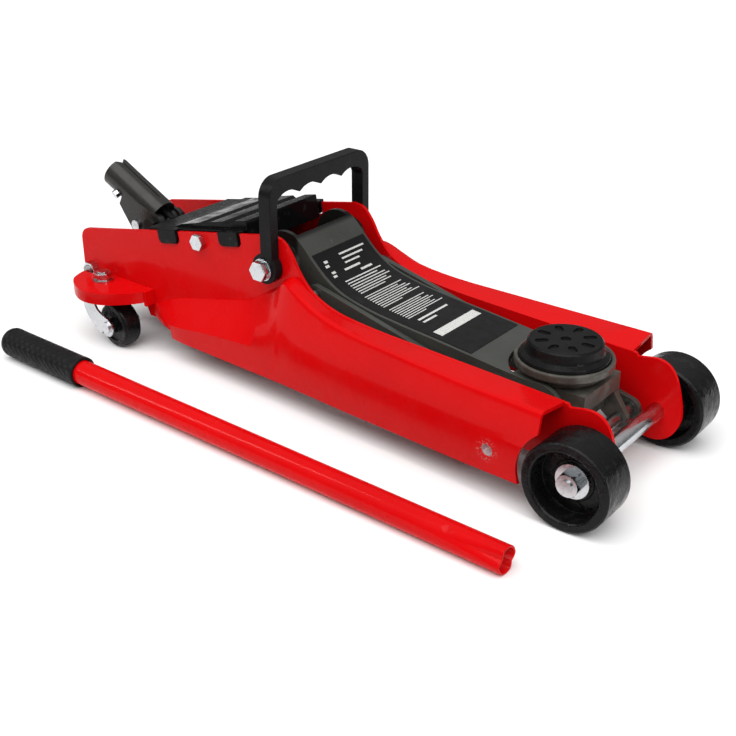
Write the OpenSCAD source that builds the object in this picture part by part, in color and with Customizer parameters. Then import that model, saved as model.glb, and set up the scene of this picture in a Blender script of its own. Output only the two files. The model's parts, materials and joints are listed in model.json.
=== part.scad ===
// Low-profile hydraulic trolley jack with its pump handle lying beside it.
// Millimetres, +Z up, +X towards the saddle end. Built around the front axle, then moved
// so that the middle of the whole footprint is at the origin.

/* [Chassis] */
// Radius of the front wheels
wheel_r = 35; // [33:0.5:36]
// Width of the front wheels
wheel_w = 35; // [30:1:36]
// Half distance between the outer faces of the flat side plates
plate_y = 55; // [55:0.5:56]
// Thickness of the pressed side plates
sheet = 3; // [2.5:0.1:3]
// Height of the hump in the side plates
hump_z = 143; // [141:1:145]
// Distance from the front axle back to the rear edge of the side plates
rear_x = 546; // [544:1:550]

/* [Lift] */
// Distance from the arm pivot forward to the saddle pin
arm_reach = 247; // [245:1:248]
// Radius of the rubber pad on the saddle
pad_r = 29; // [26:0.5:31]
// Height of the rubber pad with the arm down
pad_top_z = 100; // [98:0.5:104]

/* [Handle] */
// Inner radius of the handle socket
socket_bore_r = 11.5; // [11:0.1:11.6]
// Angle of the socket above the floor
socket_tilt = 27; // [25:1:29]
// Outer radius of the pump handle tube
tube_r = 10.75; // [9.5:0.05:10.8]
// Length of the pump handle
handle_length = 543; // [500:1:560]

/* [Hidden] */
$fn = 64;
running = 0.05;

// Placing the jack and the handle over the origin.
jack_shift = [262.4, 36.1, 0];

// Chassis lines, measured from the front axle.
web_in = plate_y - sheet;
axle_z = wheel_r;
axle_r = 7;
wheel_in = plate_y + 4;
wheel_out = wheel_in + wheel_w;
hump_x = -300;
top_slope = 0.19;
slope_angle = atan(top_slope);
web_bottom = 30;
skirt_bottom = 22;
skin_rear = -450;
skin_front = -25;

// Pivots of the lift, as [x, z].
arm_pivot = [-303, 116];
arm_drop = 60;
saddle_pin = [arm_pivot[0] + arm_reach, arm_pivot[1] - arm_drop];
link_offset = [38, -20];
link_rear = arm_pivot + link_offset;
link_front = saddle_pin + link_offset;
link_angle = atan2(-arm_drop, arm_reach);
link_length = norm(link_front - link_rear);
crank_r = 42;
crank_angle = -120;
ram_pin = arm_pivot + crank_r * [cos(crank_angle), sin(crank_angle)];
ram_z = 73;
shaft_r = 10;
arm_y = 37;
arm_wall = 4;
shoulder_r = 25;

// Cross bars between the plates, as [x, z].
upper_tie = [-386, 118.5];
rear_tie = [-533, 58.5];
front_spacer = [-66, 41];

// Places of the cover's tabs along the top edges.
tab_x = [-426, -351];
carry_x = -300;
carry_w = 12.5;
carry_in = plate_y + 0.4;
carry_out = plate_y + 9.5;
carry_top = 192;
carry_under = 174.5;
finger = 27;
finger_r = 22.5;

// Socket, pump and handle.
socket_pivot = [-490, 100];
socket_rise = 4;
socket_mouth = 73;
socket_seat = 42;
socket_sheet = 3;
pump_x = -513;
roller_z = 95;
roller_r = 7;
caster_x = -504;
caster_y = 69;
caster_r = 21;
caster_trail = 22;
caster_yaw = -6;
wing_z = 58;
fork_z = 43;
grip_r = 13.5;
grip_length = 105;
handle_y = -155;
handle_end_x = -3;
handle_yaw = -1;
handle_dip = asin((grip_r - tube_r) / (handle_length - grip_length));

// Points on a circular arc.
function arc(c, r, from, to, n = 12) =
    [for (i = [0:n]) let (a = from + (to - from) * i / n) c + r * [cos(a), sin(a)]];

// One smooth span between b and c, with neighbours a and d.
function span_point(a, b, c, d, t) =
    0.5 * (2 * b + (c - a) * t + (2 * a - 5 * b + 4 * c - d) * t * t + (3 * b - a - 3 * c + d) * t * t * t);

// A smooth curve through the points of p, n steps to a span.
function smooth(p, n = 5) = concat(
    [for (i = [0:len(p) - 2], k = [0:n - 1])
        span_point(p[max(i - 1, 0)], p[i], p[i + 1], p[min(i + 2, len(p) - 1)], k / n)],
    [p[len(p) - 1]]);

function reversed(p) = [for (i = [len(p) - 1:-1:0]) p[i]];
function shifted(p, by) = [for (q = p) q + by];

// Height of the side plate's sloping top edge over its rear half.
function top_edge(x) = hump_z + (x - hump_x) * top_slope;

// The top edge from the hump down the swoop to the front, as [x, z].
swoop = smooth([
    [-301, hump_z], [-290, hump_z - 2.5], [-281, 130.5], [-273, 117], [-260, 103],
    [-238, 93], [-205, 88], [-150, 84.5], [-90, 82], [-40, 79.5], [-22, 78.5]]);

// The top of the lift arm from its rear shoulder to the saddle.
arm_top = smooth([
    [-291, 138], [-283, 131], [-272, 119.5], [-259, 108.5], [-242, 99.5],
    [-215, 93], [-185, 89], [-150, 85.5], [-118, 82], [-90, 78.7], [-70, 77]]);

module jack() {
    translate(jack_shift) children();
}

// A flat outline in X and Z, made solid from y0 to y1.
module side_solid(y0, y1) {
    translate([0, y1, 0]) rotate([90, 0, 0]) linear_extrude(y1 - y0) children();
}

// The same on both sides of the middle.
module both_sides(y0, y1) {
    side_solid(y0, y1) children();
    side_solid(-y1, -y0) children();
}

// A round bar across the jack at [x, z], from y0 to y1.
module cross_bar(p, r, y0, y1) {
    translate([p[0], y1, p[1]]) rotate([90, 0, 0]) cylinder(h = y1 - y0, r = r);
}

// A hexagon across the jack, af wide over its flats.
module cross_hex(p, af, y0, y1, turn = 0) {
    translate([p[0], y1, p[1]]) rotate([90, turn, 0]) rotate([0, 0, turn])
        cylinder(h = y1 - y0, d = af / cos(30), $fn = 6);
}

module mirrored() {
    children();
    mirror([0, 1, 0]) children();
}

// ---- Side plates ----

module web_outline() {
    corner = [-rear_x + 12, top_edge(-rear_x) - 10];
    polygon(concat(
        arc(corner, 12, 180, 90 + slope_angle, 6),
        swoop,
        smooth([[-20, 76], [-4, 78.5], [6, 75.5], [13, 67], [17.5, 54], [20.5, 40], [20, 29],
            [14, 17], [4, 10.5], [-8, 10], [-20, 15], [-32, 24], [-46, web_bottom]], 4),
        [[-458, web_bottom], [-465, 46], [-rear_x + 4, 46]],
        arc([-rear_x + 4, 50], 4, 270, 180, 3)));
}

// A tab's outline with rounded lower corners, in X and Z.
module tab_outline(width, depth, r, top) {
    polygon(concat(
        [[-width / 2, top]], arc([-width / 2 + r, -depth + r], r, 180, 270, 6),
        arc([width / 2 - r, -depth + r], r, 270, 360, 6), [[width / 2, top]]));
}

// Notches that take the tabs of the cover.
module tab_notches() {
    for (x = tab_x) translate([x, 0, top_edge(x)]) rotate([0, -slope_angle, 0])
        side_solid(plate_y - 10, plate_y + 10) tab_outline(26, 11.2, 4.6, 20);
}

// Outline of the flared skin at one station, outside first from the bottom up.
// s = [x, crease z, bottom y, bend y, bend z, fold z, bend radius]
function skin_outer(s) = [
    [s[2] - 2, skirt_bottom], [s[2], s[1]], [(s[2] + s[3]) / 2, (s[1] + s[4]) / 2],
    [s[3], s[4] - s[6]], [s[3] - 0.3 * s[6], s[4] - 0.3 * s[6]], [s[3] - s[6], s[4]],
    [web_in + 0.4, s[5]]];
function skin_inner(s) = let (y = s[3] - sheet, z = s[4] - sheet, r = max(s[6] - sheet, 0.3)) [
    [web_in + 0.4, s[5] - sheet], [y - r, z], [y - 0.3 * r, z - 0.3 * r], [y, z - r],
    [(s[2] + s[3]) / 2 - sheet, (s[1] + s[4]) / 2], [s[2] - sheet, s[1]],
    [s[2] - 2 - sheet, skirt_bottom]];
function ring3(s) = [for (p = concat(skin_outer(s), skin_inner(s))) [s[0], p[0], p[1]]];

skin_stations = smooth([
    [skin_rear, 34, 56.2, 55.5, 44, 47, 0.6], [-416, 36, 69.5, 55.6, 58, 61, 0.8],
    [-370, 42, 72.5, 55.7, 69, 73, 1], [-330, 46, 74.5, 56.5, 79, 84, 1.5],
    [-316, 47, 75.2, 57.5, 86.5, 91.5, 2], [-303, 47.6, 75.7, 59, 93.5, 98, 2.5],
    [-296, 48, 76, 60.5, 97.5, 101.5, 3], [-290, 48.4, 76.2, 62.5, 103, 107, 3.5],
    [-285, 48.7, 76.4, 64.5, 107.5, 111, 3.5], [-278, 49, 76.8, 66.8, 110, 112.5, 4],
    [-270, 50, 77.4, 68.8, 107.5, 109, 4], [-260, 50.6, 78.2, 70.2, 103, 102, 4.5],
    [-240, 51.2, 79.6, 72.5, 95, 92.7, 4.5], [-205, 52, 82.5, 76.5, 89.5, 87.5, 4.5],
    [-150, 53, 86, 81, 86.5, 84.2, 4.5], [-90, 54, 89.5, 85, 84.8, 81.8, 4.5],
    [skin_front, 54, 92, 87.5, 83.5, 79, 4.5]], 3);

// The pressed skin that flares out from the flat plate towards the front.
module flared_skin() {
    n = len(skin_outer(skin_stations[0])) * 2;
    m = len(skin_stations);
    points = [for (s = skin_stations) each ring3(s)];
    walls = [for (i = [0:m - 2], k = [0:n - 1]) let (
            a = i * n + k, b = i * n + (k + 1) % n, c = a + n, d = b + n)
        each [[a, c, b], [b, c, d]]];
    half = n / 2;
    caps = [for (k = [0:half - 2]) let (j = n - 1 - k)
        each [[k, j - 1, j], [k, k + 1, j - 1],
            [(m - 1) * n + k, (m - 1) * n + j, (m - 1) * n + j - 1],
            [(m - 1) * n + k, (m - 1) * n + j - 1, (m - 1) * n + k + 1]]];
    difference() {
        polyhedron(points, concat(walls, caps));
        cross_bar([0, axle_z], wheel_r + 6, plate_y + 0.5, 100);
        translate([skin_rear - 10, 40, 0]) cube([42, 60, web_bottom + 0.2]);
    }
}

module side_plate() {
    difference() {
        union() {
            difference() {
                side_solid(web_in, plate_y) web_outline();
                tab_notches();
            }
            flared_skin();
        }
        cross_bar([0, axle_z], axle_r, 40, 60);
        cross_bar(arm_pivot, shaft_r, 40, 60);
        cross_bar(link_rear, 6, 40, 60);
        cross_bar(upper_tie, 4, 40, 60);
        cross_bar(rear_tie, 5, 40, 60);
        cross_bar(front_spacer, 5, 40, 110);
    }
}

module side_plate_left() {
    color("#c80d10") side_plate();
}

module side_plate_right() {
    color("#c80d10") mirror([0, 1, 0]) side_plate();
}

// Spacers between each plate and its skin, riveted over outside.
module front_spacers() {
    color("#b9bcc0") mirrored() {
        cross_bar(front_spacer, 5, web_in - 1.5, 89);
        cross_bar(front_spacer, 7.5, plate_y, 81);
    }
}

// ---- Running gear ----

module front_axle() {
    color("#c9ccd0") {
        cross_bar([0, axle_z], axle_r, -wheel_in - 20.3, wheel_in + 20.3);
        cross_bar([0, axle_z], 5, -wheel_out + 3, wheel_out - 3);
    }
}

// The wheel's section, as [radius, distance out from its inner face].
module wheel_section() {
    polygon([
        [axle_r + running, -3.5], [14, -3.5], [15, 12], [26.5, 12], [27.5, 1], [wheel_r - 2, 0],
        [wheel_r, 2], [wheel_r, wheel_w - 1.5], [wheel_r - 1.5, wheel_w], [28.5, wheel_w],
        [27, wheel_w - 1.5], [26, 19], [16, 19], [16, 20], [axle_r + running, 20]]);
}

module front_wheel() {
    translate([0, wheel_in, axle_z]) rotate([-90, 0, 0]) rotate_extrude($fn = 96) wheel_section();
}

module front_wheel_left() {
    color("#151515") front_wheel();
}

module front_wheel_right() {
    color("#151515") mirror([0, 1, 0]) front_wheel();
}

module wheel_washers() {
    color("#b4b7bb") mirrored() difference() {
        cross_bar([0, axle_z], 13.5, wheel_in + 20.3, wheel_in + 22.5);
        cross_bar([0, axle_z], 5, wheel_in + 20, wheel_in + 23);
    }
}

module wheel_nuts() {
    color("#d5d8dc") mirrored() difference() {
        intersection() {
            cross_hex([0, axle_z], 17, wheel_in + 22.5, wheel_in + 30.5);
            translate([0, wheel_in + 22.5, axle_z]) rotate([-90, 0, 0])
                cylinder(h = 8, r1 = 11.5, r2 = 8.6);
        }
        cross_bar([0, axle_z], 5, wheel_in + 22, wheel_in + 31);
    }
}

// ---- Casters ----

wing_outline = smooth([
    [-537, plate_y], [-535, 71], [-526.5, 86], [-504, 97.5], [-483, 95], [-467, 84],
    [-455, 69], [-450, plate_y]], 4);
wing_inner = smooth([
    [-534, plate_y], [-532, 70.3], [-524.5, 83.8], [-503.5, 94.5], [-484, 92], [-469, 81.8],
    [-457.7, 67.8], [-453, plate_y]], 4);

// Pressed bracket on the outside of the plate, turned down at its rim.
module caster_bracket() {
    difference() {
        union() {
            difference() {
                translate([0, 0, wing_z - 11]) linear_extrude(11) polygon(wing_outline);
                translate([0, 0, wing_z - 12]) linear_extrude(12 - sheet) polygon(wing_inner);
            }
            translate([-453, plate_y, 44]) cube([3, 11, 14]);
        }
        translate([caster_x, caster_y, wing_z - 5]) cylinder(h = 10, r = 5);
        cross_bar(rear_tie, 10, plate_y - 1, plate_y + 9);
    }
}

module caster_bracket_left() {
    color("#c80d10") caster_bracket();
}

module caster_bracket_right() {
    color("#c80d10") mirror([0, 1, 0]) caster_bracket();
}

// The fixed stems that the forks turn on, headed below the fork's top plate.
module caster_stems() {
    color("#b4b7bb") mirrored() translate([caster_x, caster_y, 0]) {
        translate([0, 0, fork_z - 1]) cylinder(h = wing_z + 9.5 - fork_z + 1, r = 5);
        translate([0, 0, fork_z - 3]) cylinder(h = 2.7, r = 8);
    }
}

module caster_washers() {
    color("#b4b7bb") mirrored() translate([caster_x, caster_y, wing_z]) difference() {
        cylinder(h = 1.6, r = 9.5);
        translate([0, 0, -1]) cylinder(h = 4, r = 5);
    }
}

module caster_nuts() {
    color("#d5d8dc") mirrored() translate([caster_x, caster_y, wing_z + 1.6]) difference() {
        rotate([0, 0, 15]) cylinder(h = 6.5, d = 15 / cos(30), $fn = 6);
        translate([0, 0, -1]) cylinder(h = 9, r = 5);
    }
}

// Places a child built around a caster's swivel axis.
module at_caster(side) {
    translate([caster_x, side * caster_y, 0]) rotate([0, 0, caster_yaw]) children();
}

module fork_leg() {
    side_solid(13.5, 15.7) polygon(concat(
        [[-12, fork_z + 2.5]], smooth([[-13, 40], [-12, 33], [-6, 24], [5, 15.5], [13, 12]], 3),
        arc([caster_trail, caster_r], 9, 215, 395, 8),
        smooth([[24, 30], [15, 32], [8, 35.5], [5, 40]], 3), [[5, fork_z + 2.5]]));
}

module caster_fork() {
    difference() {
        union() {
            translate([0, 0, fork_z]) cylinder(h = 2.5, r = 12);
            translate([0, 0, fork_z + 2.4]) cylinder(h = wing_z - sheet - fork_z - 2.9, r = 11);
            translate([-12, -15.7, fork_z]) cube([17, 31.4, 2.5]);
            fork_leg();
            mirror([0, 1, 0]) fork_leg();
        }
        translate([0, 0, 40]) cylinder(h = 20, r = 5 + running);
        cross_bar([caster_trail, caster_r], 3.5, -20, 20);
    }
}

module caster_wheel() {
    translate([caster_trail, -9, caster_r]) rotate([-90, 0, 0]) rotate_extrude(convexity = 4) polygon([
        [3.55, -3.5], [7, -3.5], [7, 1.5], [14.5, 1.5], [14.5, 0], [18, 0], [20, 0.8], [caster_r, 3],
        [caster_r, 15], [20, 17.2], [18, 18], [14.5, 18], [14.5, 16.5], [7, 16.5], [7, 21.5],
        [3.55, 21.5]]);
}

module caster_pin() {
    cross_bar([caster_trail, caster_r], 3.5, -16.5, 16.5);
    cross_bar([caster_trail, caster_r], 5.5, 15.7, 17.5);
    cross_bar([caster_trail, caster_r], 5.5, -17.5, -15.7);
}

module caster_fork_left() {
    color("#a9adb2") at_caster(1) caster_fork();
}

module caster_fork_right() {
    color("#a9adb2") at_caster(-1) caster_fork();
}

module caster_wheel_left() {
    color("#121212") at_caster(1) caster_wheel();
}

module caster_wheel_right() {
    color("#121212") at_caster(-1) caster_wheel();
}

module caster_pin_left() {
    color("#c9ccd0") at_caster(1) caster_pin();
}

module caster_pin_right() {
    color("#c9ccd0") at_caster(-1) caster_pin();
}

// ---- Tie rods ----

module rear_tie_rod() {
    color("#8d9094") cross_bar(rear_tie, 5, -plate_y - 8.5, plate_y + 8.5);
}

module rear_tie_nuts() {
    color("#d5d8dc") mirrored() difference() {
        cross_hex(rear_tie, 14, plate_y, plate_y + 7);
        cross_bar(rear_tie, 5, plate_y - 1, plate_y + 9);
    }
}

module upper_tie_rod() {
    color("#8d9094") difference() {
        cross_bar(upper_tie, 6, -web_in, web_in);
        for (y = [-web_in - 1, web_in - 14]) cross_bar(upper_tie, 4, y, y + 15);
    }
}

module upper_tie_bolts() {
    color("#d5d8dc") mirrored() {
        cross_hex(upper_tie, 13, plate_y, plate_y + 5.5);
        cross_bar(upper_tie, 4, web_in - 12, plate_y + 1);
    }
}

// ---- Lift arm and saddle ----

// Side wall of the arm: crank lug, underside, rounded nose, top curve and rear shoulder.
module arm_outline() {
    polygon(concat(
        arc(ram_pin, 12, 165, 285, 10),
        [[-294, 77], [-90, 38]],
        arc(saddle_pin, 21, 255, 450, 16),
        reversed(arm_top),
        arc(arm_pivot, shoulder_r, 62, 172, 12)));
}

// Inside of the arm's channel, open below and behind the top plate.
module arm_pocket() {
    polygon(concat(
        [[-20, 20], [-20, 60], [-56, 74]],
        reversed(shifted(arm_top, [-2, -4])),
        [[-293, 150], [-360, 150], [-360, 20]]));
}

module lift_arm() {
    color("#43413e") difference() {
        union() {
            difference() {
                side_solid(-arm_y, arm_y) arm_outline();
                side_solid(-arm_y + arm_wall, arm_y - arm_wall) arm_pocket();
            }
            cross_bar(arm_pivot, 15, -web_in + 1, web_in - 1);
        }
        cross_bar(arm_pivot, shaft_r + running, -60, 60);
        cross_bar(saddle_pin, 6, -60, 60);
        cross_bar(ram_pin, 6, -60, 60);
        intersection() {
            translate([saddle_pin[0], 0, 60]) cylinder(h = 40, r = 42);
            translate([-110, -arm_y + arm_wall, 60]) cube([120, 2 * (arm_y - arm_wall), 40]);
        }
        translate([saddle_pin[0], -arm_y + arm_wall, 60]) cube([60, 2 * (arm_y - arm_wall), 40]);
    }
}

// Label laid along the arm's top.
label_span = [for (p = arm_top) if (p[0] > -278 && p[0] < -117) p];

module arm_label() {
    color("#161616") side_solid(-34, 34)
        polygon(concat(label_span, reversed(shifted(label_span, [0.1, 0.5]))));
}

module arm_pivot_shaft() {
    color("#8d9094") difference() {
        cross_bar(arm_pivot, shaft_r, -plate_y, plate_y);
        for (y = [-plate_y - 1, plate_y - 17]) cross_bar(arm_pivot, 5, y, y + 18);
    }
}

module saddle_pin_bar() {
    color("#8d9094") cross_bar(saddle_pin, 6, -arm_y, arm_y);
}

module ram_pin_bar() {
    color("#8d9094") cross_bar(ram_pin, 6, -arm_y, arm_y);
}

// Cast block that stays level: turntable seat, pin barrel and two lugs for the links.
module saddle_holder() {
    color("#77756f") difference() {
        union() {
            translate([saddle_pin[0] - 30, -28, 58]) cube([64, 56, 14]);
            translate([saddle_pin[0] + 16, -27, 42]) cube([10, 54, 18]);
            cross_bar(saddle_pin, 12, -arm_y + arm_wall + 0.5, arm_y - arm_wall - 0.5);
            both_sides(21, 27) polygon(concat(
                [[-48, 60], [-47, 50]], arc(link_front, 8, 200, 380, 10), [[-25, 60]]));
        }
        cross_bar(saddle_pin, 6 + running, -60, 60);
        cross_bar(link_front, 5, -60, 60);
        translate([saddle_pin[0], 0, 63.5]) cylinder(h = 20, r = 12 + running);
    }
}

// Turning saddle: stem, flared cup and raised rim.
module saddle_cup() {
    rim_z = pad_top_z - 13;
    color("#6d6b66") translate([saddle_pin[0], 0, 0]) rotate_extrude($fn = 96) polygon([
        [0, 63.7], [12, 63.7], [12, 72.3], [29, 72.3], [31, 74], [34, 79.5], [37.2, 79.5],
        [38.4, 81], [38.4, rim_z - 1], [37.6, rim_z], [35.8, rim_z], [35, rim_z - 1],
        [35, 80.5], [0, 80.5]]);
}

module saddle_pad() {
    pocket = 1.5;
    color("#101010") translate([saddle_pin[0], 0, 0]) difference() {
        rotate_extrude($fn = 96) polygon([
            [0, 80.5], [35, 80.5], [35, 87], [34, 89], [pad_r + 1.5, 91], [pad_r + 0.5, 93],
            [pad_r, pad_top_z - 1.5], [pad_r - 1.5, pad_top_z], [0, pad_top_z]]);
        for (a = [0:45:315]) rotate([0, 0, a]) for (r = [16.5:1.5:21])
            translate([r, 0, pad_top_z - pocket]) cylinder(h = 5, r = 3, $fn = 24);
        translate([0, 0, pad_top_z - pocket]) cylinder(h = 5, r = 4);
    }
}

// Bars outside the arm that keep the saddle level.
module level_link(y0, y1) {
    difference() {
        translate([link_rear[0], 0, link_rear[1]]) rotate([0, -link_angle, 0]) {
            side_solid(y0, y1) polygon(concat(
                arc([0, 0], 9, 90, 270, 10), arc([link_length, 0], 9, -90, 90, 10)));
        }
        cross_bar(link_rear, 5 + running, -60, 60);
        cross_bar(link_front, 5 + running, -60, 60);
    }
}

module level_link_left() {
    color("#4b4946") level_link(40, 45);
}

module level_link_right() {
    color("#4b4946") level_link(-45, -40);
}

// Stub pins riveted into the side plates, one for each link.
module link_studs() {
    color("#8d9094") mirrored() {
        cross_bar(link_rear, 5, 39.2, web_in);
        cross_bar(link_rear, 6, 45.5, plate_y);
    }
}

module link_pin() {
    color("#8d9094") {
        cross_bar(link_front, 5, -46.5, 46.5);
        mirrored() cross_bar(link_front, 7, 45.3, 47.5);
    }
}

// ---- Hydraulics ----

module power_unit() {
    color("#2e2d2b") difference() {
        union() {
            difference() {
                translate([-458, -web_in, 36]) cube([33, 2 * web_in, 70]);
                for (s = [-1, 1]) translate([-470, s * 60, 112]) rotate([0, 90, 0])
                    cylinder(h = 60, r = 26);
            }
            translate([-526, -28, 36]) cube([70, 56, 22]);
            translate([pump_x, 0, 57]) cylinder(h = 22, r = 10);
            both_sides(6, 10) polygon(concat(
                [[-501, 57]], arc(socket_pivot, 9, 175, 5, 10), [[-464, 57]]));
        }
        translate([pump_x, 0, 45]) cylinder(h = 50, r = 7 + running);
        cross_bar(socket_pivot, 5 + running, -30, 30);
        translate([-461, 0, socket_pivot[1]]) rotate([0, 90, 0]) cylinder(h = 14, r = 5 + running);
    }
}

module along_x(x0, x1, r, z = ram_z) {
    translate([x0, 0, z]) rotate([0, 90, 0]) cylinder(h = x1 - x0, r = r);
}

module reservoir() {
    color("#2b2b2b") difference() {
        along_x(-425, -368, 36);
        along_x(-426, -372, 33);
        along_x(-380, -360, 23);
        translate([-408, 0, 100]) cylinder(h = 20, r = 5);
    }
}

module filler_plug() {
    color("#1a1a1a") {
        translate([-408, 0, 104]) cylinder(h = 7, r = 5);
        translate([-408, 0, 109.5]) cylinder(h = 3.5, r = 7.5);
    }
}

module hydraulic_cylinder() {
    color("#6f7275") difference() {
        along_x(-425, -352, 23);
        along_x(-422, -350, 9 + running);
    }
}

module ram() {
    color("#c9ccd0") along_x(-421.5, -338, 9);
}

// Block on the ram's end, slotted upright for the arm's pin.
module ram_block() {
    color("#55534f") difference() {
        translate([ram_pin[0] - 13, -30, 58]) cube([26, 60, 34]);
        along_x(-350, -338, 9);
        side_solid(-40, 40) polygon(concat(
            arc([ram_pin[0], arm_pivot[1] - crank_r], 6.7, 180, 360, 12),
            arc([ram_pin[0], ram_pin[1] + 0.9], 6.7, 0, 180, 12)));
    }
}

module pump_plunger() {
    color("#c9ccd0") {
        translate([pump_x, 0, 52]) cylinder(h = 33, r = 7);
        translate([pump_x, 0, 84.5]) cylinder(h = 3.2, r = 8.5);
    }
}

module release_valve() {
    color("#202020") {
        along_x(-460, -449, 5, socket_pivot[1]);
        along_x(-468.5, -460, 8, socket_pivot[1]);
    }
}

// ---- Handle socket ----

// A frame on the socket's pivot, with +X out along the socket.
module at_socket() {
    translate([socket_pivot[0], 0, socket_pivot[1]]) rotate([0, 180 + socket_tilt, 0])
        mirror([0, 0, 1]) children();
}

// The roller, as seen in the socket's frame.
roller_gap = [socket_pivot[0] - pump_x, roller_z - socket_pivot[1]];
roller_at = [
    roller_gap[0] * cos(socket_tilt) + roller_gap[1] * sin(socket_tilt),
    -roller_gap[0] * sin(socket_tilt) + roller_gap[1] * cos(socket_tilt)];
socket_out_r = socket_bore_r + socket_sheet;

module socket_cheek() {
    polygon(concat(
        arc([0, 0], 11, 100, 250, 10), arc(roller_at, 9, 235, 300, 6),
        [[38, -15], [46, socket_rise - socket_out_r], [46, socket_rise]]));
}

module handle_socket() {
    color("#4a4743") at_socket() difference() {
        union() {
            difference() {
                translate([4, 0, socket_rise]) rotate([0, 90, 0])
                    cylinder(h = socket_mouth - 4, r = socket_out_r);
                translate([0, -20, socket_rise - 20.5]) cube([42, 40, 20]);
            }
            both_sides(socket_bore_r + 0.1, socket_out_r - 0.1) socket_cheek();
        }
        translate([0, 0, socket_rise]) rotate([0, 90, 0]) cylinder(h = 90, r = socket_bore_r);
        translate([0, 0, socket_rise]) rotate([0, 90, 0]) cylinder(h = socket_seat, r = socket_bore_r + 0.5);
        translate([14, -0.6, 8]) cube([80, 1.2, 20]);
        translate([socket_mouth, 0, 8]) rotate([0, 0, 45]) translate([-3.5, -3.5, 0]) cube([7, 7, 20]);
        cross_bar([0, 0], 5, -30, 30);
        cross_bar(roller_at, 3, -30, 30);
        at_set_screw() cylinder(h = 20, r = 2.5);
    }
}

// The set screw's axis, square to the socket's near side.
module at_set_screw() {
    translate([53, 0, socket_rise]) rotate([118, 0, 0]) children();
}

module set_screw() {
    color("#b4b7bb") at_socket() at_set_screw() {
        translate([0, 0, socket_bore_r + 0.5]) cylinder(h = 4, r = 2.5);
        translate([0, 0, socket_out_r + 0.3]) cylinder(h = 4, r = 4.2);
    }
}

module socket_pivot_bolt() {
    color("#c9ccd0") at_socket() {
        cross_bar([0, 0], 5, -socket_out_r - 6, socket_out_r + 1);
        cross_hex([0, 0], 14, socket_out_r, socket_out_r + 6);
    }
}

module socket_pivot_nut() {
    color("#d5d8dc") at_socket() difference() {
        cross_hex([0, 0], 14, -socket_out_r - 6, -socket_out_r);
        cross_bar([0, 0], 5, -socket_out_r - 7, 0);
    }
}

module pump_roller() {
    color("#9a9da1") at_socket() difference() {
        cross_bar(roller_at, roller_r, -socket_bore_r + 0.5, socket_bore_r - 0.5);
        cross_bar(roller_at, 3, -20, 20);
    }
}

module roller_pin() {
    color("#d5d8dc") at_socket() {
        cross_bar(roller_at, 3, -socket_out_r - 1, socket_out_r + 1);
        mirrored() cross_bar(roller_at, 5, socket_out_r, socket_out_r + 2.5);
    }
}

// Knuckle that carries the handle's turn on to the release valve.
module valve_knuckle() {
    color("#181818") at_socket() difference() {
        union() {
            translate([-17, 0, socket_rise]) rotate([0, 90, 0]) cylinder(h = 12, r = 5.5);
            translate([20, 0, socket_rise]) rotate([0, 90, 0]) cylinder(h = 18, r = socket_bore_r - 0.4);
            translate([-8, -2.5, 7]) cube([32, 5, 3.5]);
        }
        translate([-22, -1.5, -10]) cube([10, 3, 30]);
    }
}

// ---- Cover and carry handle ----

// A frame on the sloping top edges, with its origin at the hump.
module at_cover() {
    translate([hump_x, 0, hump_z]) rotate([0, -slope_angle, 0]) children();
}

module cover_plate() {
    front = -38;
    back = -158;
    color("#141414") at_cover() difference() {
        union() {
            translate([back, -web_in + 0.4, 0]) cube([front - back, 2 * web_in - 0.8, 2]);
            side_solid(-46, 46) polygon([
                [back + 26, 1], [back + 40, 4.5], [back + 62, 6], [back + 66, 3.6], [back + 71, 3.8],
                [back + 76, 7], [back + 92, 7.8], [back + 96, 4.6], [back + 101, 4.8],
                [back + 106, 8.6], [front, 9], [front, -12], [front - 2, -12], [front - 2, 1]]);
            mirrored() for (x = tab_x) translate([(x - hump_x) / cos(slope_angle), 0, 0])
                side_solid(plate_y - 4.2, plate_y + 2.2) tab_outline(23, 10.6, 4, 2);
        }
        side_solid(-43, 43) polygon([[back + 46, -1], [front - 2, -1], [front - 2, 3], [back + 60, 2]]);
    }
}

// Scallops for the fingers, cut up into the bar.
module finger_scallops() {
    intersection() {
        translate([carry_x - 50, -2 * finger, carry_under - 5]) cube([100, 4 * finger, 20]);
        for (i = [-1.5:1:1.5]) translate([carry_x - 50, i * finger, carry_under + 4.5 - finger_r])
            rotate([0, 90, 0]) cylinder(h = 100, r = finger_r);
    }
}

// Carry handle: two flat legs and a bar with finger scallops under it.
module carry_handle() {
    color("#1d1d1d") difference() {
        union() {
            difference() {
                translate([carry_x - carry_w / 2, 0, 0]) rotate([90, 0, 90])
                    linear_extrude(carry_w) polygon(concat(
                        [[-carry_out, arm_pivot[1]]],
                        arc([-carry_out + 16, carry_top - 16], 16, 180, 90, 10),
                        arc([carry_out - 16, carry_top - 16], 16, 90, 0, 10),
                        [[carry_out, arm_pivot[1]], [carry_in, arm_pivot[1]]],
                        arc([carry_in - 5, carry_under - 5], 5, 0, 90, 5),
                        arc([-carry_in + 5, carry_under - 5], 5, 90, 180, 5),
                        [[-carry_in, arm_pivot[1]]]));
                finger_scallops();
            }
            mirrored() cross_bar(arm_pivot, 13, carry_in, carry_out);
        }
        cross_bar(arm_pivot, 5 + running, -80, 80);
    }
}

module carry_bolts() {
    color("#cfd2d6") mirrored() {
        cross_bar(arm_pivot, 5, plate_y - 16, carry_out + 2);
        cross_hex(arm_pivot, 15.5, carry_out + 1.9, carry_out + 8.5);
    }
}

module carry_washers() {
    color("#b4b7bb") mirrored() difference() {
        cross_bar(arm_pivot, 9.5, carry_out + 0.3, carry_out + 1.9);
        cross_bar(arm_pivot, 5, carry_out, carry_out + 3);
    }
}

// ---- Pump handle on the floor ----

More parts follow.
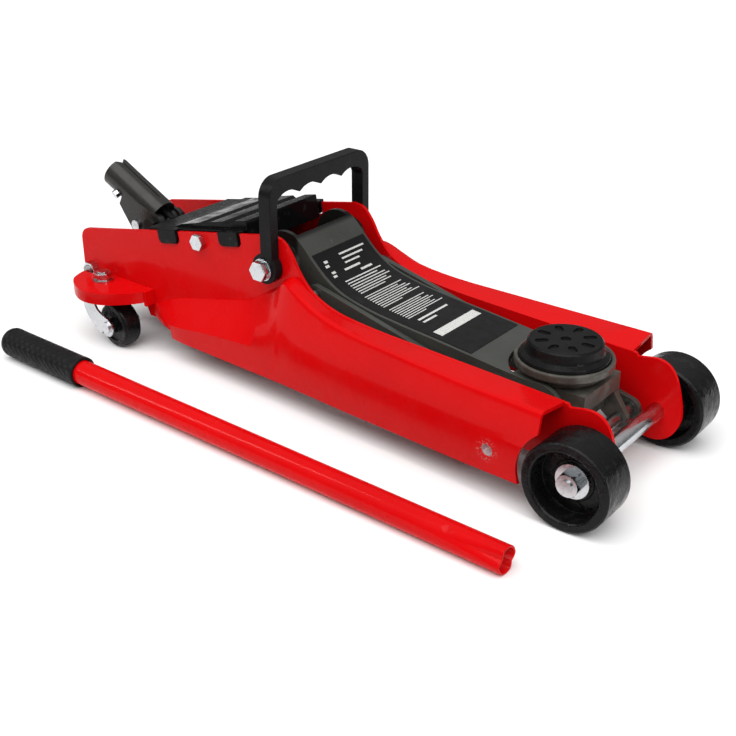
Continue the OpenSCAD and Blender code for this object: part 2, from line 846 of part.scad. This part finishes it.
// A frame on the handle's front end, with +X back towards the grip.
module at_handle() {
    translate([handle_end_x, handle_y - 4.5, tube_r + 0.04]) rotate([0, 0, 180 + handle_yaw])
        rotate([0, -handle_dip, 0]) children();
}

module handle_tube() {
    color("#c80d10") at_handle() difference() {
        rotate([0, 90, 0]) cylinder(h = handle_length - 8, r = tube_r);
        translate([-1, 0, 0]) rotate([0, 90, 0]) cylinder(h = handle_length - 20, r = tube_r - 1.6);
        for (a = [45, 225]) rotate([a, 0, 0]) translate([-6, 0, 0]) rotate([0, 0, 45])
            translate([0, 0, -20]) translate([-1, -5, 0]) cube([8, 8, 40]);
        translate([45, 0, 0]) rotate([-35, 0, 0]) cylinder(h = 20, r = 2.4);
    }
}

module handle_grip() {
    color("#161616") at_handle() difference() {
        rotate([0, 90, 0]) rotate_extrude() polygon(concat(
            [[0, handle_length - grip_length], [grip_r - 1, handle_length - grip_length],
            [grip_r, handle_length - grip_length + 1]],
            arc([grip_r - 9, handle_length - 9], 9, 0, 90, 8), [[0, handle_length]]));
        rotate([0, 90, 0]) cylinder(h = handle_length - 8, r = tube_r);
    }
}

jack() side_plate_left();
jack() side_plate_right();
jack() front_spacers();
jack() front_axle();
jack() front_wheel_left();
jack() front_wheel_right();
jack() wheel_washers();
jack() wheel_nuts();
jack() caster_bracket_left();
jack() caster_bracket_right();
jack() caster_stems();
jack() caster_washers();
jack() caster_nuts();
jack() caster_fork_left();
jack() caster_fork_right();
jack() caster_wheel_left();
jack() caster_wheel_right();
jack() caster_pin_left();
jack() caster_pin_right();
jack() rear_tie_rod();
jack() rear_tie_nuts();
jack() upper_tie_rod();
jack() upper_tie_bolts();
jack() lift_arm();
jack() arm_label();
jack() arm_pivot_shaft();
jack() saddle_pin_bar();
jack() ram_pin_bar();
jack() saddle_holder();
jack() saddle_cup();
jack() saddle_pad();
jack() level_link_left();
jack() level_link_right();
jack() link_studs();
jack() link_pin();
jack() power_unit();
jack() reservoir();
jack() filler_plug();
jack() hydraulic_cylinder();
jack() ram();
jack() ram_block();
jack() pump_plunger();
jack() release_valve();
jack() handle_socket();
jack() set_screw();
jack() socket_pivot_bolt();
jack() socket_pivot_nut();
jack() pump_roller();
jack() roller_pin();
jack() valve_knuckle();
jack() cover_plate();
jack() carry_handle();
jack() carry_bolts();
jack() carry_washers();
jack() handle_tube();
jack() handle_grip();
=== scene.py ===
"""Looks of the hydraulic trolley jack: finer pieces, node materials, floor, lights and camera."""
import json
import math

import bmesh
import bpy
from mathutils import Matrix, Vector
from mathutils.bvhtree import BVHTree


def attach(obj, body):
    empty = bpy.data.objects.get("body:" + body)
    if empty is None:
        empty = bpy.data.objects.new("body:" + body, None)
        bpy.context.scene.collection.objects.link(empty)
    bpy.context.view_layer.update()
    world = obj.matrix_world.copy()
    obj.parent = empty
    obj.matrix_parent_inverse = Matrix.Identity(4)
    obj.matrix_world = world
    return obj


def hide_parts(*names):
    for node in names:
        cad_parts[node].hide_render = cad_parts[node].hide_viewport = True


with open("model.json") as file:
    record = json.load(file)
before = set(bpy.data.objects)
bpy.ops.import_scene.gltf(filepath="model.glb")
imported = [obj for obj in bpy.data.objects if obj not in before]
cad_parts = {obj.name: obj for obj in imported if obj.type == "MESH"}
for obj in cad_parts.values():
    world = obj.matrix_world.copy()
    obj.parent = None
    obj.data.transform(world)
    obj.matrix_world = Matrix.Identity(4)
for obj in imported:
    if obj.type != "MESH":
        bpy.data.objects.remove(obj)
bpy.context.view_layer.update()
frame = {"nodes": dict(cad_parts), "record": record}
record = frame["record"]
BODY_OF = {node: body for body, nodes in record["behaviour"]["bodies"].items() for node in nodes}
SLOT_OF = {part["node"]: part["material_slot"] for part in record["subparts"]}

# The CAD is drawn from the front axle and moved by this much, in metres.
AXLE = Vector((0.2624, 0.0361, 0.0))


# ---- Materials ----

class Shader:
    """A node material, built one node at a time."""

    def __init__(self, name, color, metallic=0.0, roughness=0.5, **sockets):
        self.mat = bpy.data.materials.new(name)
        self.mat.use_nodes = True
        self.tree = self.mat.node_tree
        self.bsdf = self.tree.nodes["Principled BSDF"]
        self.place = self.add("ShaderNodeTexCoord").outputs["Object"]
        self.bsdf.inputs["Base Color"].default_value = (*color, 1)
        self.bsdf.inputs["Metallic"].default_value = metallic
        self.bsdf.inputs["Roughness"].default_value = roughness
        for socket, value in sockets.items():
            self.bsdf.inputs[socket.replace("_", " ")].default_value = value
        self.height = None

    def add(self, kind, **settings):
        made = self.tree.nodes.new(kind)
        for key, value in settings.items():
            setattr(made, key, value)
        return made

    def feed(self, socket, value):
        if isinstance(value, bpy.types.NodeSocket):
            self.tree.links.new(value, socket)
        else:
            socket.default_value = value

    def math(self, operation, *values, clamp=False):
        made = self.add("ShaderNodeMath", operation=operation, use_clamp=clamp)
        for socket, value in zip(made.inputs, values):
            self.feed(socket, value)
        return made.outputs[0]

    def noise(self, scale, detail=4.0, roughness=0.5, stretch=None, distortion=0.0):
        made = self.add("ShaderNodeTexNoise")
        made.inputs["Scale"].default_value = scale
        made.inputs["Detail"].default_value = detail
        made.inputs["Roughness"].default_value = roughness
        made.inputs["Distortion"].default_value = distortion
        self.feed(made.inputs["Vector"], self.stretched(stretch))
        return made.outputs["Fac"]

    def cells(self, scale, feature="F1", stretch=None):
        made = self.add("ShaderNodeTexVoronoi", feature=feature)
        made.inputs["Scale"].default_value = scale
        self.feed(made.inputs["Vector"], self.stretched(stretch))
        return made.outputs["Distance"]

    def stretched(self, stretch):
        if stretch is None:
            return self.place
        made = self.add("ShaderNodeMapping")
        self.feed(made.inputs["Vector"], self.place)
        made.inputs["Scale"].default_value = stretch
        return made.outputs["Vector"]

    def span(self, value, low, high, out_low=0.0, out_high=1.0):
        made = self.add("ShaderNodeMapRange", interpolation_type="SMOOTHSTEP")
        for socket, number in zip(made.inputs, (value, low, high, out_low, out_high)):
            self.feed(socket, number)
        return made.outputs["Result"]

    def axis(self, letter):
        made = self.add("ShaderNodeSeparateXYZ")
        self.feed(made.inputs[0], self.place)
        return made.outputs[letter]

    def near(self, point, inner, outer):
        """1 close to a point, falling to 0 at the outer distance."""
        made = self.add("ShaderNodeVectorMath", operation="DISTANCE")
        self.feed(made.inputs[0], self.place)
        made.inputs[1].default_value = point
        return self.span(made.outputs["Value"], inner, outer, 1.0, 0.0)

    def tint(self, fac, color):
        """Mixes a colour over what the base colour is so far."""
        made = self.add("ShaderNodeMix", data_type="RGBA")
        base = self.bsdf.inputs["Base Color"]
        if base.is_linked:
            self.feed(made.inputs[6], base.links[0].from_socket)
        else:
            made.inputs[6].default_value = base.default_value
        self.feed(made.inputs[0], fac)
        made.inputs[7].default_value = (*color, 1)
        self.tree.links.new(made.outputs[2], base)

    def roughen(self, value, low=0.0, high=1.0, out_low=0.3, out_high=0.5):
        self.feed(self.bsdf.inputs["Roughness"], self.span(value, low, high, out_low, out_high))

    def bump(self, height, depth):
        """Adds a bump of the given depth in metres."""
        made = self.add("ShaderNodeBump")
        made.inputs["Strength"].default_value = 1.0
        made.inputs["Distance"].default_value = depth
        self.feed(made.inputs["Height"], height)
        if self.height:
            self.feed(made.inputs["Normal"], self.height)
        self.height = made.outputs["Normal"]
        self.feed(self.bsdf.inputs["Normal"], self.height)
        self.feed(self.bsdf.inputs["Coat Normal"], self.height)


def red_paint():
    s = Shader("red_paint", (0.62, 0.002, 0.003), roughness=0.3,
               Specular_IOR_Level=0.04, Coat_Weight=0.12, Coat_Roughness=0.04)
    s.tint(s.span(s.noise(9, 3), 0.35, 0.75), (0.55, 0.002, 0.003))
    specks = s.span(s.cells(260), 0.0, 0.09, 1.0, 0.0)
    s.tint(s.math("MULTIPLY", specks, s.span(s.noise(30), 0.56, 0.62)), (0.12, 0.004, 0.004))
    # Paint chipped off round the end of each front spacer.
    chips = s.span(s.noise(520, 4, 0.65), 0.55, 0.6)
    for side in (-1, 1):
        rubbed = s.near(AXLE + Vector((-0.066, 0.089 * side, 0.041)), 0.004, 0.012)
        s.tint(s.math("MULTIPLY", chips, rubbed), (0.3, 0.29, 0.28))
    s.roughen(s.noise(38, 5), 0.3, 0.75, 0.2, 0.36)
    s.bump(s.noise(420, 2), 0.00003)
    s.bump(s.noise(18, 2), 0.0003)
    return s.mat


def arm_paint():
    s = Shader("arm_paint", (0.048, 0.05, 0.044), roughness=0.35,
               Specular_IOR_Level=0.25, Coat_Weight=0.15, Coat_Roughness=0.12)
    s.tint(s.span(s.noise(24, 4), 0.4, 0.75), (0.035, 0.037, 0.032))
    s.tint(s.span(s.noise(130, 6, 0.7), 0.62, 0.72), (0.1, 0.095, 0.085))
    # Painted shade: the arm's round shoulders by its pivot, which face back and up, are painted darker.
    # The handle socket at the rear is darker too.
    shaded_shoulders = s.span(s.axis("X"), AXLE.x - 0.291, AXLE.x - 0.288, 1.0, 0.0)
    ahead_of_socket = s.span(s.axis("X"), AXLE.x - 0.46, AXLE.x - 0.45)
    s.tint(s.math("MULTIPLY", shaded_shoulders, ahead_of_socket), (0.009, 0.0085, 0.008))
    s.tint(s.math("SUBTRACT", 1.0, ahead_of_socket), (0.018, 0.0165, 0.015))
    s.roughen(s.noise(60, 5), 0.3, 0.7, 0.24, 0.42)
    s.bump(s.noise(500, 3), 0.00006)
    return s.mat


def cast_metal():
    s = Shader("cast_metal", (0.06, 0.056, 0.047), metallic=0.15, roughness=0.4, Specular_IOR_Level=0.4)
    s.tint(s.span(s.noise(70, 5), 0.45, 0.7), (0.1, 0.094, 0.08))
    s.tint(s.span(s.noise(260, 5, 0.7), 0.62, 0.7), (0.16, 0.15, 0.13))
    s.roughen(s.noise(90, 4), 0.3, 0.7, 0.28, 0.5)
    s.bump(s.noise(230, 4), 0.00025)
    return s.mat


def pump_paint():
    s = Shader("pump_paint", (0.011, 0.0105, 0.01), roughness=0.3, Specular_IOR_Level=0.4)
    s.tint(s.span(s.noise(80, 5), 0.5, 0.72), (0.026, 0.025, 0.023))
    s.roughen(s.noise(50, 4), 0.3, 0.7, 0.22, 0.4)
    s.bump(s.noise(200, 4), 0.0002)
    return s.mat


def turned_steel(name, color, low, high, streak):
    s = Shader(name, color, metallic=1.0, roughness=low)
    s.tint(s.span(s.noise(45, 5), 0.45, 0.75), tuple(0.8 * c for c in color))
    s.tint(s.span(s.noise(380, 3, 0.7), 0.6, 0.7), tuple(0.62 * c for c in color))
    s.roughen(s.noise(300, 4, stretch=streak), 0.3, 0.7, low, high)
    s.bump(s.noise(700, 2, stretch=streak), 0.00003)
    return s.mat


def moulded(name, color, low, high, grain, depth):
    s = Shader(name, color, roughness=low, Specular_IOR_Level=0.09)
    s.tint(s.span(s.noise(60, 4), 0.4, 0.8), tuple(1.6 * c for c in color))
    s.roughen(s.noise(85, 5), 0.3, 0.72, low, high)
    s.bump(s.noise(grain, 3), depth)
    return s.mat


def wheel_nylon():
    s = Shader("wheel_nylon", (0.004, 0.004, 0.0045), roughness=0.2,
               Specular_IOR_Level=0.12, Coat_Weight=0.08, Coat_Roughness=0.1)
    s.tint(s.span(s.noise(150, 5), 0.56, 0.72), (0.01, 0.01, 0.01))
    s.roughen(s.noise(120, 5), 0.35, 0.7, 0.14, 0.42)
    s.bump(s.noise(150, 4, 0.6), 0.0007)
    return s.mat


def cover_paint():
    s = Shader("cover_paint", (0.005, 0.005, 0.0055), roughness=0.2,
               Specular_IOR_Level=0.06, Coat_Weight=0.08, Coat_Roughness=0.06)
    s.tint(s.span(s.noise(120, 4), 0.6, 0.72), (0.018, 0.018, 0.018))
    s.roughen(s.noise(70, 4), 0.35, 0.7, 0.15, 0.35)
    s.bump(s.noise(240, 2), 0.00005)
    return s.mat


def label_film():
    s = Shader("label_film", (0.0045, 0.0045, 0.005), roughness=0.32, Specular_IOR_Level=0.16)
    s.tint(s.span(s.noise(90, 4), 0.4, 0.8), (0.007, 0.007, 0.007))
    s.roughen(s.noise(140, 4), 0.3, 0.7, 0.26, 0.42)
    s.bump(s.noise(500, 2), 0.00003)
    return s.mat


def print_ink():
    s = Shader("print_ink", (0.62, 0.62, 0.6), roughness=0.45, Specular_IOR_Level=0.2)
    s.tint(s.span(s.noise(900, 3), 0.45, 0.7), (0.4, 0.4, 0.39))
    s.roughen(s.noise(500, 3), 0.3, 0.7, 0.4, 0.55)
    return s.mat


LOOKS = {
    "red_paint": red_paint(),
    "arm_paint": arm_paint(),
    "cast_metal": cast_metal(),
    "pump_paint": pump_paint(),
    "cylinder_steel": turned_steel("cylinder_steel", (0.22, 0.22, 0.22), 0.3, 0.5, (0.15, 1, 1)),
    "bright_zinc": turned_steel("bright_zinc", (0.6, 0.62, 0.64), 0.12, 0.3, (1, 0.2, 1)),
    "plain_steel": turned_steel("plain_steel", (0.3, 0.3, 0.29), 0.2, 0.38, (1, 0.2, 1)),
    "black_oxide": turned_steel("black_oxide", (0.035, 0.034, 0.033), 0.3, 0.5, (1, 0.2, 1)),
    "ram_chrome": turned_steel("ram_chrome", (0.7, 0.7, 0.7), 0.05, 0.12, (0.2, 1, 1)),
    "wheel_nylon": wheel_nylon(),
    "pad_rubber": moulded("pad_rubber", (0.006, 0.006, 0.006), 0.2, 0.38, 180, 0.0004),
    "label_film": label_film(),
    "cover_paint": cover_paint(),
    "black_plastic": moulded("black_plastic", (0.0065, 0.0065, 0.007), 0.2, 0.36, 600, 0.00006),
    "grip_rubber": moulded("grip_rubber", (0.008, 0.008, 0.0085), 0.32, 0.48, 500, 0.0001),
}

for node, piece in frame["nodes"].items():
    for material_slot in piece.material_slots:
        material_slot.material = LOOKS[SLOT_OF[node]]


# ---- Finer pieces ----

def show(name, mesh, body, slot, look=None):
    """A new piece on a body, in the look of its slot unless another is given."""
    if not mesh.materials:
        mesh.materials.append(look or LOOKS[slot])
    for face in mesh.polygons:
        face.use_smooth = True
    piece = bpy.data.objects.new(name, mesh)
    bpy.context.collection.objects.link(piece)
    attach(piece, body)
    return piece


def softened(node, width):
    """A copy of a CAD node with its sharp edges rounded, shown in the node's place."""
    mesh = frame["nodes"][node].data.copy()
    welded = bmesh.new()
    welded.from_mesh(mesh)
    bmesh.ops.remove_doubles(welded, verts=welded.verts, dist=0.00001)
    bmesh.ops.dissolve_limit(welded, angle_limit=math.radians(0.8),
                             verts=welded.verts, edges=welded.edges)
    welded.to_mesh(mesh)
    welded.free()
    piece = show(node + "_rounded", mesh, BODY_OF[node], SLOT_OF[node])
    edges = piece.modifiers.new("edges", "BEVEL")
    edges.width = width
    edges.segments = 2
    edges.angle_limit = math.radians(29)
    normals = piece.modifiers.new("normals", "WEIGHTED_NORMAL")
    normals.keep_sharp = True
    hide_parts(node)


def lofted(rings, closed_ends):
    """A mesh through rings of points, with each flagged end filled."""
    count = len(rings[0])
    points = [p for ring in rings for p in ring]
    faces = []
    for start in range(0, (len(rings) - 1) * count, count):
        for k in range(count):
            after = (k + 1) % count
            faces.append((start + k, start + after, start + count + after, start + count + k))
    if closed_ends[0]:
        faces.append(tuple(reversed(range(count))))
    if closed_ends[1]:
        faces.append(tuple(range(len(points) - count, len(points))))
    mesh = bpy.data.meshes.new("lofted")
    mesh.from_pydata(points, [], faces)
    return mesh


# The pump handle: a frame on its front end, with +X back towards the grip.
TUBE_R = 0.01075
GRIP_R = 0.0135
HANDLE_LENGTH = 0.543
GRIP_LENGTH = 0.105
HANDLE = (Matrix.Translation(AXLE + Vector((-0.003, -0.1595, 0.01079)))
          @ Matrix.Rotation(math.radians(179), 4, "Z")
          @ Matrix.Rotation(-math.asin((GRIP_R - TUBE_R) / (HANDLE_LENGTH - GRIP_LENGTH)), 4, "Y"))


def handle_ring(along, radius_at, count):
    """Points round the pump handle's axis, at a radius that may change with the angle."""
    points = []
    for k in range(count):
        angle = 2 * math.pi * k / count
        radius = radius_at(angle)
        points.append(HANDLE @ Vector((along, radius * math.cos(angle), radius * math.sin(angle))))
    return points


def zigzag(t):
    """0 at whole numbers and 1 half way between them."""
    return 1 - abs(2 * (t % 1) - 1)


def knurled_grip():
    """Sleeve with crossed ridges, a lip at its front and a domed end."""
    start, end = HANDLE_LENGTH - GRIP_LENGTH, HANDLE_LENGTH
    steps, around = 150, 144
    edge, dome_r, lip, plain_end = 0.0006, 0.009, 0.006, 0.01
    ridges, ridge_pitch, ridge_height = 14, 0.0075, 0.00055
    rings = [handle_ring(start, lambda a: GRIP_R - 0.002, around),
             handle_ring(start, lambda a: GRIP_R - 0.0007, around)]
    for i in range(steps + 1):
        along = start + edge + (GRIP_LENGTH - edge) * i / steps
        from_end = max(end - along, 0.0)
        dome = math.sqrt(max(0.0, 1 - (1 - min(from_end / dome_r, 1)) ** 2))
        body = (GRIP_R - dome_r) + dome_r * dome
        plain = along < start + lip or from_end < plain_end

        def radius(a, along=along, body=body, plain=plain):
            if plain:
                return body
            turn = ridges * a / (2 * math.pi)
            ridge = max(zigzag(turn + along / ridge_pitch), zigzag(turn - along / ridge_pitch))
            return body - ridge_height + ridge_height * ridge ** 3

        rings.append(handle_ring(along, radius, around))
    piece = show("knurled_grip", lofted(rings, (False, True)), "pump_handle", "grip_rubber")
    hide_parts("handle_grip")


def pinched_tube():
    """Handle tube, pinched into two grooves at its open front end, with a punched dent."""
    around = 128
    pinch_depth, pinch_length = 0.0034, 0.062
    groove_angles, groove_spread = (0.5, 3.64), 0.62
    dent_along, dent_angle, dent_r, dent_depth = 0.045, 1.0, 0.003, 0.0012

    def outer(along):
        pinch = pinch_depth * max(0.0, 1 - along / pinch_length) ** 1.4

        def radius(a):
            away = min(abs(math.remainder(a - middle, 2 * math.pi)) for middle in groove_angles)
            groove = max(0.0, 1 - away / groove_spread)
            off = math.hypot(along - dent_along, TUBE_R * math.remainder(a - dent_angle, 2 * math.pi))
            return TUBE_R - pinch * groove - dent_depth * max(0.0, 1 - (off / dent_r) ** 2)
        return radius

    # From inside the open end, over its rounded rim, and back along the outside.
    inside = ((0.03, 0.0017), (0.0003, 0.0016), (0.0, 0.0012), (0.0, 0.0004))
    rings = []
    for along, depth in inside:
        surface = outer(along if along > 0.01 else 0)
        rings.append(handle_ring(along, lambda a: surface(a) - depth, around))
    steps = [0.0004, 0.002] + [0.004 + 0.0015 * i for i in range(42)]
    rings += [handle_ring(along, outer(along), around) for along in steps]
    rings += [handle_ring(HANDLE_LENGTH - GRIP_LENGTH + 0.002, lambda a: TUBE_R, around)]
    piece = show("pinched_tube", lofted(rings, (True, False)), "pump_handle", "red_paint")
    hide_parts("handle_tube")


def label_print():
    """Plain bars in rows, laid on the arm's label in place of its printing."""
    surface = BVHTree.FromObject(frame["nodes"]["arm_label"], bpy.context.evaluated_depsgraph_get())
    points, faces = [], []

    def bar(x, y0, y1, thick):
        """One printed bar across the arm, with x measured from the axle."""
        for i in range(2):
            for y in (y0, y1):
                at = AXLE + Vector((x + thick * i, y, 0.3))
                hit = surface.ray_cast(at, Vector((0, 0, -1)))[0]
                points.append(hit + Vector((0, 0, 0.00015)))
        n = len(points)
        faces.append((n - 4, n - 2, n - 1, n - 3))

    def block(x, rows, y0, y1, pitch=0.0027, thick=0.001):
        """Rows of bars with ragged ends and a shorter last row."""
        for row in range(rows):
            short = 0.25 * zigzag(0.31 * row + 0.17) + (0.35 if row == rows - 1 else 0)
            bar(x + pitch * row, y0, y1 - short * (y1 - y0), thick)

    for x in (-0.2705, -0.262):
        bar(x, -0.027, -0.0225, 0.0018)
        bar(x + 0.003, -0.0285, -0.024, 0.0018)
    block(-0.2715, 3, -0.006, 0.03, 0.0033, 0.0012)
    block(-0.2605, 1, -0.012, 0.024, thick=0.0016)
    block(-0.256, 1, 0.004, 0.03, thick=0.0018)
    block(-0.2515, 7, -0.022, 0.03)
    block(-0.2295, 8, -0.024, 0.03)
    block(-0.2045, 8, -0.024, 0.028)
    block(-0.179, 2, -0.02, 0.024, 0.005, 0.0022)
    bar(-0.158, -0.028, 0.028, 0.009)
    mesh = bpy.data.meshes.new("label_print")
    mesh.from_pydata(points, [], faces)
    show("label_print", mesh, "arm", "label_film", print_ink())


# How far the edges of each CAD node are rounded, in metres.
ROUNDING = {
    "carry_handle": 0.003, "caster_bracket_left": 0.003, "caster_bracket_right": 0.003,
    "lift_arm": 0.0009, "side_plate_left": 0.0006, "side_plate_right": 0.0006, "cover_plate": 0.0006,
    "handle_socket": 0.0004, "saddle_holder": 0.0014, "saddle_cup": 0.0007, "saddle_pad": 0.0002,
    "level_link_left": 0.0006, "level_link_right": 0.0006, "power_unit": 0.0012, "ram_block": 0.0012,
    "caster_fork_left": 0.0005, "caster_fork_right": 0.0005, "front_wheel_left": 0.0006,
    "front_wheel_right": 0.0006, "caster_wheel_left": 0.0006, "caster_wheel_right": 0.0006,
    "carry_bolts": 0.0006, "wheel_nuts": 0.0004, "rear_tie_nuts": 0.0005, "upper_tie_bolts": 0.0005,
    "caster_nuts": 0.0005, "socket_pivot_bolt": 0.0004, "socket_pivot_nut": 0.0004,
}
for node, width in ROUNDING.items():
    softened(node, width)
knurled_grip()
pinched_tube()
label_print()


# ---- Floor, lights and camera ----

def floor():
    """A wide sheet of pale paper."""
    mesh = bpy.data.meshes.new("floor")
    half = 4.0
    corners = [(-half, -half, 0), (half, -half, 0), (half, half, 0), (-half, half, 0)]
    mesh.from_pydata(corners, [], [(0, 1, 2, 3)])
    piece = bpy.data.objects.new("floor", mesh)
    bpy.context.collection.objects.link(piece)
    s = Shader("floor_paper", (0.93, 0.93, 0.93), roughness=0.9)
    s.tint(s.span(s.noise(3, 2), 0.3, 0.8), (0.915, 0.915, 0.915))
    mesh.materials.append(s.mat)


def area_light(name, place, target, size, watts):
    """A strip light in a place, aimed at a target."""
    light = bpy.data.lights.new(name, "AREA")
    light.shape = "RECTANGLE"
    light.size, light.size_y = size
    light.energy = watts
    lamp = bpy.data.objects.new(name, light)
    lamp.location = place
    lamp.rotation_euler = (Vector(target) - Vector(place)).to_track_quat("-Z", "Y").to_euler()
    bpy.context.collection.objects.link(lamp)


def camera():
    """The view down on the jack from ahead of it, over its near side."""
    lens = bpy.data.cameras.new("camera")
    lens.lens = 58.33
    lens.sensor_width = 36
    lens.clip_end = 20
    view = bpy.data.objects.new("camera", lens)
    view.location = Vector((0.3261, -0.7331, 0.4773)) + AXLE
    view.rotation_euler = (math.radians(90 - 26.3), 0, math.radians(37.9))
    bpy.context.collection.objects.link(view)
    bpy.context.scene.camera = view


def sun(name, direction, strength, degrees):
    """Soft light from a direction, as wide as the given angle."""
    light = bpy.data.lights.new(name, "SUN")
    light.energy = strength
    light.angle = math.radians(degrees)
    lamp = bpy.data.objects.new(name, light)
    lamp.rotation_euler = (-Vector(direction)).to_track_quat("-Z", "Y").to_euler()
    bpy.context.collection.objects.link(lamp)


def studio_world():
    """White overhead and dim at the horizon, so that upright faces keep their contrast."""
    world = bpy.data.worlds.new("studio")
    world.use_nodes = True
    tree = world.node_tree
    toward = tree.nodes.new("ShaderNodeTexCoord").outputs["Generated"]
    split = tree.nodes.new("ShaderNodeSeparateXYZ")
    rise = tree.nodes.new("ShaderNodeMapRange")
    tree.links.new(toward, split.inputs[0])
    tree.links.new(split.outputs["Z"], rise.inputs["Value"])
    for socket, number in (("From Min", 0.1), ("From Max", 0.8), ("To Min", 0.12), ("To Max", 0.68)):
        rise.inputs[socket].default_value = number
    tree.links.new(rise.outputs["Result"], tree.nodes["Background"].inputs["Strength"])
    tree.nodes["Background"].inputs["Color"].default_value = (1, 1, 1, 1)
    bpy.context.scene.world = world


floor()
sun("overhead", (0.1, -0.45, 1.0), 2.1, 60)
area_light("left", (-1.3, -1.0, 1.3), (-0.1, 0, 0.08), (0.14, 1.2), 6)
area_light("right", (1.5, -0.3, 1.0), (0.1, 0, 0.05), (0.12, 1.2), 6)
studio_world()
bpy.context.scene.view_settings.view_transform = "Standard"
camera()
